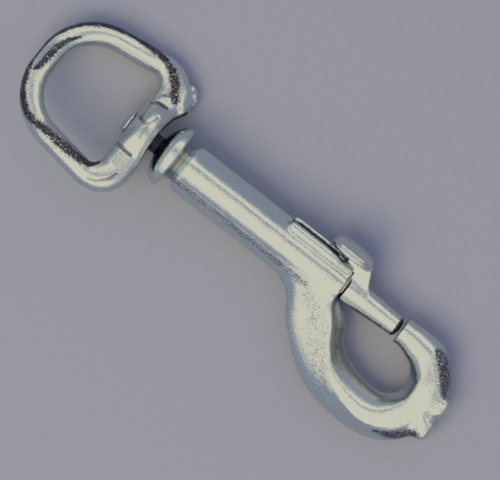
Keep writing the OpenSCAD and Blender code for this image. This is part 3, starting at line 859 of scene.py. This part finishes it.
def bolt_field(b, s):
    """The bolt with its neck and thumb knob. Y is along the neck."""
    bolt_r, root_r, tip_r = s.bore_d / 2 - s.bolt_fit, s.root_d / 2, s.tip_d / 2
    groove_x, root_x = s.barrel_l - 0.6, s.barrel_l + 0.6
    shaft = turned([(s.bolt_rear, bolt_r - 0.4), (s.bolt_rear + 0.4, bolt_r),
                    (groove_x - 0.3, bolt_r), (groove_x, root_r - 0.4),
                    (root_x - 0.2, root_r - 0.4), (root_x, root_r)]
                   + dome(s.bolt_tip, s.bolt_tip - tip_r * 0.5, tip_r)[::-1],
                   b.x, np.hypot(b.y, b.z))
    # the neck: round at its rear, sloping to the bolt at its front
    neck_r = s.slot_w / 2 - s.neck_fit
    top = s.knob_reach + s.knob_t / 2
    rear = s.barrel_l - s.neck_back + neck_r
    front = s.barrel_l + s.neck_front
    side = outline_distance(b.x[:, :, 0], b.y[:, :, 0], [
        (rear - neck_r, 0), (front, 0), (front, tip_r), (front - 0.8, root_r + 0.5),
        (front - 2.2, top), (rear - neck_r, top)])[:, :, None]
    plan_form = np.where(b.x < rear, np.hypot(b.x - rear, b.z), np.abs(b.z)) - neck_r
    shape = join(shaft, common(side, plan_form, 0.5), 0.7)
    # the knob, a shallow dome with a rounded rim
    r = np.hypot(b.x - s.barrel_l + s.knob_back, b.z)
    rim = s.knob_d / 2
    knob = turned([(0, rim - 0.5), (0.1, rim - 0.15), (0.3, rim), (s.knob_t - 0.3, rim),
                   (s.knob_t - 0.1, rim - 0.15)]
                  + dome(s.knob_t + s.knob_dome, s.knob_t, rim - 0.3)[::-1],
                  b.y - s.knob_reach, r)
    return join(shape, knob, 0.7)


def bolt_skin(points, normals, s):
    """Waves and grain on the bolt, with painted shade where it runs inside the barrel and at its
    tip by the nose.
    """
    x, y, _ = points.T
    # painted shade inside the barrel and in the gap between the tip and the nose
    inside = (x < s.barrel_l - 0.1) & (y < s.bore_d / 2 + 0.4)
    tip = blend((x - s.bolt_tip + 1.3) / 0.5)
    depth = relief(points, (0.02, 1.8, 11), (0.01, 0.6, 12))
    return depth, np.maximum(inside * PAINTED_SHADE_LEVEL, tip), 0 * depth


# ---- Materials


def node(tree, kind, inputs=None, **settings):
    """Adds a node, sets it up and links or fills its inputs."""
    made = tree.nodes.new(kind)
    for name, value in settings.items():
        setattr(made, name, value)
    for name, value in (inputs or {}).items():
        if isinstance(value, bpy.types.NodeSocket):
            tree.links.new(value, made.inputs[name])
        else:
            made.inputs[name].default_value = value
    return made


def mixed(tree, factor, first, second):
    """Socket of a colour that goes from the first to the second with this factor."""
    return node(tree, "ShaderNodeMix", {"Factor": factor, 6: (*first, 1), 7: (*second, 1)},
                data_type="RGBA").outputs[2]


def new_material(name, inputs):
    """A material whose shader has these inputs. Returns it with its tree and its shader."""
    material = bpy.data.materials.new(name)
    material.use_nodes = True
    shader = material.node_tree.nodes["Principled BSDF"]
    for label, value in inputs.items():
        shader.inputs[label].default_value = value
    return material, material.node_tree, shader


def new_group(name, inputs, outputs):
    """An empty shader node group with float inputs and outputs, and its two end nodes."""
    tree = bpy.data.node_groups.new(name, "ShaderNodeTree")
    for label, value in inputs.items():
        socket = tree.interface.new_socket(label, in_out="INPUT", socket_type="NodeSocketFloat")
        socket.default_value = value
    for label in outputs:
        tree.interface.new_socket(label, in_out="OUTPUT", socket_type="NodeSocketFloat")
    return tree, tree.nodes.new("NodeGroupInput"), tree.nodes.new("NodeGroupOutput")


def cast_skin():
    """Shader group: the fine grain of a casting, and dark specks, which the Rough input thickens
    where the skin is coarse and where shade or a dark reflection is painted.
    """
    name = "Cast skin"
    if name in bpy.data.node_groups:
        return bpy.data.node_groups[name]
    tree, given, out = new_group(name, {"Grain Size": 0.35 * MM, "Rough": 0.0},
                                 ("Height", "Mottle", "Specks"))

    def maths(operation, a, b, c=0.0):
        return node(tree, "ShaderNodeMath", {0: a, 1: b, 2: c}, operation=operation).outputs[0]

    def noise(size, detail):
        return node(tree, "ShaderNodeTexNoise",
                    {"Vector": place, "Scale": size, "Detail": detail,
                     "Roughness": 0.6}).outputs["Fac"]

    place = node(tree, "ShaderNodeTexCoord").outputs["Object"]
    scale = maths("DIVIDE", 1.0, given.outputs["Grain Size"])
    grain, mottle = noise(scale, 2.0), noise(maths("MULTIPLY", scale, 0.22), 4.0)
    # relief, four times as high where it is rough
    height = maths("MULTIPLY", maths("ADD", grain, mottle),
                   maths("MULTIPLY_ADD", given.outputs["Rough"], 3.0, 1.0))
    # specks where both noises are high, and ever more of them where the skin is coarser or where
    # shade or a dark reflection is painted
    amount = maths("MULTIPLY_ADD", given.outputs["Rough"], 0.62,
                   maths("MULTIPLY_ADD", grain, 1.3, maths("MULTIPLY_ADD", mottle, 0.5, -0.4)))
    dark = node(tree, "ShaderNodeMapRange",
                {"Value": amount, "From Min": 0.66, "From Max": 0.92}).outputs[0]
    most = node(tree, "ShaderNodeMapRange",
                {"Value": given.outputs["Rough"], "From Max": 0.7, "To Min": 0.12}).outputs[0]
    specks = maths("MULTIPLY", dark, most)
    for label, value in (("Height", height), ("Mottle", mottle), ("Specks", specks)):
        tree.links.new(value, out.inputs[label])
    return tree


def plated(name, finish):
    """Bright nickel plating over a cast skin, with painted shade in its hollows and dark specks."""
    material, tree, shader = new_material(name, {"Metallic": 1.0})
    skin = node(tree, "ShaderNodeGroup", node_tree=cast_skin())
    skin.inputs["Grain Size"].default_value = finish.skin
    bend = node(tree, "ShaderNodeAttribute", attribute_name="bend")
    rough_and_painted_dark = node(tree, "ShaderNodeAttribute", attribute_name="rough_and_painted_dark")
    tree.links.new(rough_and_painted_dark.outputs["Fac"], skin.inputs["Rough"])
    shallow, deep = -0.5, -2.2  # bends per millimetre between which shade is painted in the hollows
    hollow = node(tree, "ShaderNodeMapRange",
                  {"Value": bend.outputs["Fac"], "From Min": shallow, "From Max": deep,
                   "To Max": 0.8})
    # painted shade in the hollows, or the skin's dark specks, whichever is more
    shade_and_specks = node(tree, "ShaderNodeMath",
                {0: hollow.outputs[0], 1: skin.outputs["Specks"]}, operation="MAXIMUM")
    tree.links.new(mixed(tree, shade_and_specks.outputs[0], finish.plating, finish.tarnish_and_shade),
                   shader.inputs["Base Color"])
    roughness = node(tree, "ShaderNodeMapRange",
                     {"Value": skin.outputs["Mottle"], "From Min": 0.3, "From Max": 0.7,
                      "To Min": finish.gloss * 0.8, "To Max": finish.gloss * 1.3})
    tree.links.new(roughness.outputs[0], shader.inputs["Roughness"])
    grain_depth = 0.06 * MM
    bump = node(tree, "ShaderNodeBump",
                {"Height": skin.outputs["Height"], "Strength": 0.9, "Distance": grain_depth})
    tree.links.new(bump.outputs["Normal"], shader.inputs["Normal"])
    return material


def drawn_wire(finish):
    """Dull drawn steel wire."""
    material, tree, shader = new_material("drawn_wire", {"Metallic": 1.0, "Roughness": 0.4})
    skin = node(tree, "ShaderNodeGroup", node_tree=cast_skin())
    skin.inputs["Grain Size"].default_value = finish.skin / 3
    darker = [c * 0.6 for c in finish.wire]
    tree.links.new(mixed(tree, skin.outputs["Mottle"], finish.wire, darker),
                   shader.inputs["Base Color"])
    return material


def floor_paper(tint):
    """Plain matt paper with a barely visible tooth."""
    material, tree, shader = new_material("floor_paper",
                                          {"Roughness": 0.9, "Specular IOR Level": 0.2})
    place = node(tree, "ShaderNodeTexCoord").outputs["Object"]
    tooth = node(tree, "ShaderNodeTexNoise",
                 {"Vector": place, "Scale": 1400.0, "Detail": 3.0, "Roughness": 0.7})
    dark, light = ([c * level for c in tint] for level in (0.93, 1.07))
    tree.links.new(mixed(tree, tooth.outputs["Fac"], dark, light), shader.inputs["Base Color"])
    return material


# ---- Operators: one for each piece, and one for the stage

SPARE = 1  # millimetres of empty space that a casting's block leaves round it


class SNAP_OT_barrel(bpy.types.Operator):
    """Casts the barrel with its hook, collar and swivel stem."""

    bl_idname = "snap.barrel"
    bl_label = "Barrel and Hook"

    def execute(self, context):
        s = plan()
        side = s.collar_d / 2 + SPARE
        low = (s.head_x - s.rivet_h - SPARE, -s.hook_depth - s.belly_w - SPARE, -side)
        high = (s.end_c[0] + s.end_r + s.belly_w + s.hook_gate_h + SPARE, side, side)
        casting("barrel_casting", s, Block(low, high, s.mesh_step), body_field, body_skin,
                placing(s), "barrel")
        return {"FINISHED"}


class SNAP_OT_eye(bpy.types.Operator):
    """Casts the swivel eye."""

    bl_idname = "snap.eye"
    bl_label = "Swivel Eye"

    def execute(self, context):
        s = plan()
        side, top = s.side_y + s.bar_r + SPARE, s.swell_h + SPARE
        low = (s.far_x - s.bar_r - SPARE, -side, -top)
        high = (s.base_x + s.base_w / 2 + s.eye_gate_h + SPARE, side, top)
        casting("swivel_eye", s, Block(low, high, s.mesh_step * 0.8), eye_field, eye_skin,
                placing(s, eye_lean()), "eye")
        return {"FINISHED"}


class SNAP_OT_bolt(bpy.types.Operator):
    """Casts the bolt with its thumb knob."""

    bl_idname = "snap.bolt"
    bl_label = "Bolt and Knob"

    def execute(self, context):
        s = plan()
        side = s.knob_d / 2 + SPARE
        low = (s.bolt_rear - SPARE, -s.bore_d / 2 - SPARE, -side)
        high = (s.bolt_tip + SPARE, s.knob_reach + s.knob_t + s.knob_dome + SPARE, side)
        casting("thumb_bolt", s, Block(low, high, s.mesh_step * 0.6), bolt_field, bolt_skin,
                placing(s, s.slot_angle, s.bore_offset), "bolt")
        return {"FINISHED"}


def coil_nodes(material):
    """Geometry nodes that wind a wire into a spring along X."""
    tree = bpy.data.node_groups.new("Coil spring", "GeometryNodeTree")
    face = tree.interface
    face.new_socket("Geometry", in_out="INPUT", socket_type="NodeSocketGeometry")
    for label in ("Turns", "Coil Radius", "Length", "Wire Radius"):
        face.new_socket(label, in_out="INPUT", socket_type="NodeSocketFloat")
    face.new_socket("Geometry", in_out="OUTPUT", socket_type="NodeSocketGeometry")
    given = tree.nodes.new("NodeGroupInput").outputs
    coil = node(tree, "GeometryNodeCurveSpiral",
                {"Resolution": 28, "Rotations": given["Turns"],
                 "Start Radius": given["Coil Radius"], "End Radius": given["Coil Radius"],
                 "Height": given["Length"]})
    wire = node(tree, "GeometryNodeCurvePrimitiveCircle",
                {"Resolution": 12, "Radius": given["Wire Radius"]})
    tube = node(tree, "GeometryNodeCurveToMesh",
                {"Curve": coil.outputs[0], "Profile Curve": wire.outputs[0],
                 "Fill Caps": True})
    laid = node(tree, "GeometryNodeTransform",
                {"Geometry": tube.outputs[0], "Rotation": (0, math.pi / 2, 0)})
    real = node(tree, "GeometryNodeRealizeInstances", {"Geometry": laid.outputs[0]})
    faced = node(tree, "GeometryNodeSetMaterial",
                 {"Geometry": real.outputs[0], "Material": material})
    out = tree.nodes.new("NodeGroupOutput")
    tree.links.new(faced.outputs[0], out.inputs[0])
    return tree


def grown(tree, values):
    """Mesh that this geometry tree makes with these values of its inputs."""
    holder = bpy.data.objects.new("grown", bpy.data.meshes.new("grown"))
    bpy.context.scene.collection.objects.link(holder)
    modifier = holder.modifiers.new("Tree", "NODES")
    modifier.node_group = tree
    for item in tree.interface.items_tree:
        if item.name in values:
            modifier[item.identifier] = float(values[item.name])
    evaluated = holder.evaluated_get(bpy.context.evaluated_depsgraph_get())
    mesh = bpy.data.meshes.new_from_object(evaluated)
    bpy.data.objects.remove(holder)
    return mesh


class SNAP_OT_spring(bpy.types.Operator):
    """Winds the spring behind the bolt."""

    bl_idname = "snap.spring"
    bl_label = "Spring"

    def execute(self, context):
        s = plan()
        inset = s.wire_d / 2 + 0.05
        start = s.bore_back + inset
        tree = coil_nodes(drawn_wire(context.scene.snap_finish))
        mesh = grown(tree, {
            "Turns": s.turns,
            "Coil Radius": (s.bore_d / 2 - s.spring_fit - s.wire_d / 2) * MM,
            "Length": (s.bolt_rear - inset - start) * MM,
            "Wire Radius": s.wire_d / 2 * MM})
        place = placing(s, 0, s.bore_offset) @ Matrix.Translation((start, 0, 0))
        place.translation *= MM
        mesh.transform(place)
        mesh.shade_smooth()
        piece = bpy.data.objects.new("bolt_spring", mesh)
        context.scene.collection.objects.link(piece)
        finish_piece(piece, "barrel")
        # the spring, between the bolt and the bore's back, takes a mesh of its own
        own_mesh(piece)
        return {"FINISHED"}


# Places and sizes on the stage, in metres from the middle of the snap
FLOOR_HALF = 4.0
PANEL_Z = 1.0
PANEL_LENGTH = 5.6
PANEL_ENDS = {"front": (-2.3, 0.31), "back": (0.62, 2.6)}  # where each starts and ends along Y
KEY_PLACE = (-0.1, -0.75, 1.1)
KEY_SIZE = (0.9, 0.9)
KEY_TILT = math.radians(34)
KEY_LEVEL = 2.64
VIEW_Y = -0.0007
SENSOR = 36  # millimetres


def lay_floor(stage):
    """A square of paper under the snap."""
    mesh = bpy.data.meshes.new("floor")
    half = FLOOR_HALF
    mesh.from_pydata([(-half, -half, 0), (half, -half, 0), (half, half, 0), (-half, half, 0)],
                     [], [(0, 1, 2, 3)])
    floor = bpy.data.objects.new("floor", mesh)
    floor.location.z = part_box("body")[0].z
    bpy.context.scene.collection.objects.link(floor)
    mesh.materials.append(floor_paper(stage.floor))


def soft_box(name, place, size, level, tint):
    """A rectangular lamp that faces down, whose face has this brightness."""
    lamp = bpy.data.lights.new(name, "AREA")
    lamp.shape, (lamp.size, lamp.size_y) = "RECTANGLE", size
    lamp.energy = level * math.pi * size[0] * size[1]
    lamp.color = tint
    holder = bpy.data.objects.new(name, lamp)
    holder.location = place
    holder.visible_camera = False
    bpy.context.scene.collection.objects.link(holder)
    return holder


def hang_lamps(stage):
    """Two panels overhead that only the metal mirrors, with a gap, and a key that only lights."""
    for name, (y0, y1) in PANEL_ENDS.items():
        panel = soft_box(name, (0, (y0 + y1) / 2, PANEL_Z), (PANEL_LENGTH, y1 - y0), 1.0,
                         stage.panels)
        panel.visible_diffuse = False
    key = soft_box("key", KEY_PLACE, KEY_SIZE, KEY_LEVEL, stage.warmth)
    key.rotation_euler = (KEY_TILT, 0, 0)
    key.visible_glossy = False


def paint_room(stage):
    """The world: one colour where it is seen or mirrored, another where it lights."""
    world = bpy.data.worlds.new("studio")
    world.use_nodes = True
    tree = world.node_tree
    path = node(tree, "ShaderNodeLightPath")
    seen = node(tree, "ShaderNodeMath", {0: path.outputs["Is Camera Ray"],
                                         1: path.outputs["Is Glossy Ray"]},
                operation="MAXIMUM")
    tree.links.new(mixed(tree, seen.outputs[0], stage.fill, stage.room),
                   tree.nodes["Background"].inputs["Color"])
    bpy.context.scene.world = world
    bpy.context.scene.view_settings.view_transform = "Standard"


def set_camera(stage):
    """The camera, straight above the snap."""
    camera = bpy.data.cameras.new("camera")
    camera.sensor_width = SENSOR
    camera.lens = camera.sensor_width * stage.view_height / stage.view_width
    camera.clip_start, camera.clip_end = 0.01, 100
    holder = bpy.data.objects.new("camera", camera)
    low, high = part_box("body")
    holder.location = (stage.view_x, VIEW_Y, (low.z + high.z) / 2 + stage.view_height)
    holder.rotation_euler = (0, 0, stage.view_turn)
    bpy.context.scene.collection.objects.link(holder)
    bpy.context.scene.camera = holder


class SNAP_OT_stage(bpy.types.Operator):
    """Sets the floor, the lamps, the room and the camera."""

    bl_idname = "snap.stage"
    bl_label = "Stage"

    def execute(self, context):
        stage = context.scene.snap_stage
        lay_floor(stage)
        hang_lamps(stage)
        paint_room(stage)
        set_camera(stage)
        return {"FINISHED"}


class SNAP_PT_panel(bpy.types.Panel):
    """Buttons for the pieces and the stage, and their sizes and colours."""

    bl_label = "Bolt Snap"
    bl_idname = "SNAP_PT_panel"
    bl_space_type = "VIEW_3D"
    bl_region_type = "UI"
    bl_category = "Bolt Snap"

    def draw(self, context):
        for operator in OPERATORS:
            self.layout.operator(operator.bl_idname)
        for group in (context.scene.snap_finish, context.scene.snap_stage,
                      context.scene.snap_sizes):
            box = self.layout.box()
            for name in type(group).__annotations__:
                box.prop(group, name)


GROUPS = {"snap_sizes": SnapSizes, "snap_finish": SnapFinish, "snap_stage": SnapStage}
OPERATORS = (SNAP_OT_barrel, SNAP_OT_eye, SNAP_OT_bolt, SNAP_OT_spring, SNAP_OT_stage)


def register():
    """Registers the classes and hangs the property groups on the scene."""
    for cls in (*GROUPS.values(), *OPERATORS, SNAP_PT_panel):
        bpy.utils.register_class(cls)
    for name, group in GROUPS.items():
        setattr(bpy.types.Scene, name, PointerProperty(type=group))


def unregister():
    """Takes the property groups and the classes away again."""
    for name in GROUPS:
        delattr(bpy.types.Scene, name)
    for cls in (SNAP_PT_panel, *OPERATORS[::-1], *GROUPS.values()):
        bpy.utils.unregister_class(cls)


def main():
    """Builds the snap and its stage."""
    register()
    bpy.ops.snap.barrel()
    bpy.ops.snap.eye()
    bpy.ops.snap.bolt()
    bpy.ops.snap.spring()
    bpy.ops.snap.stage()


if __name__ == "__main__":
    main()
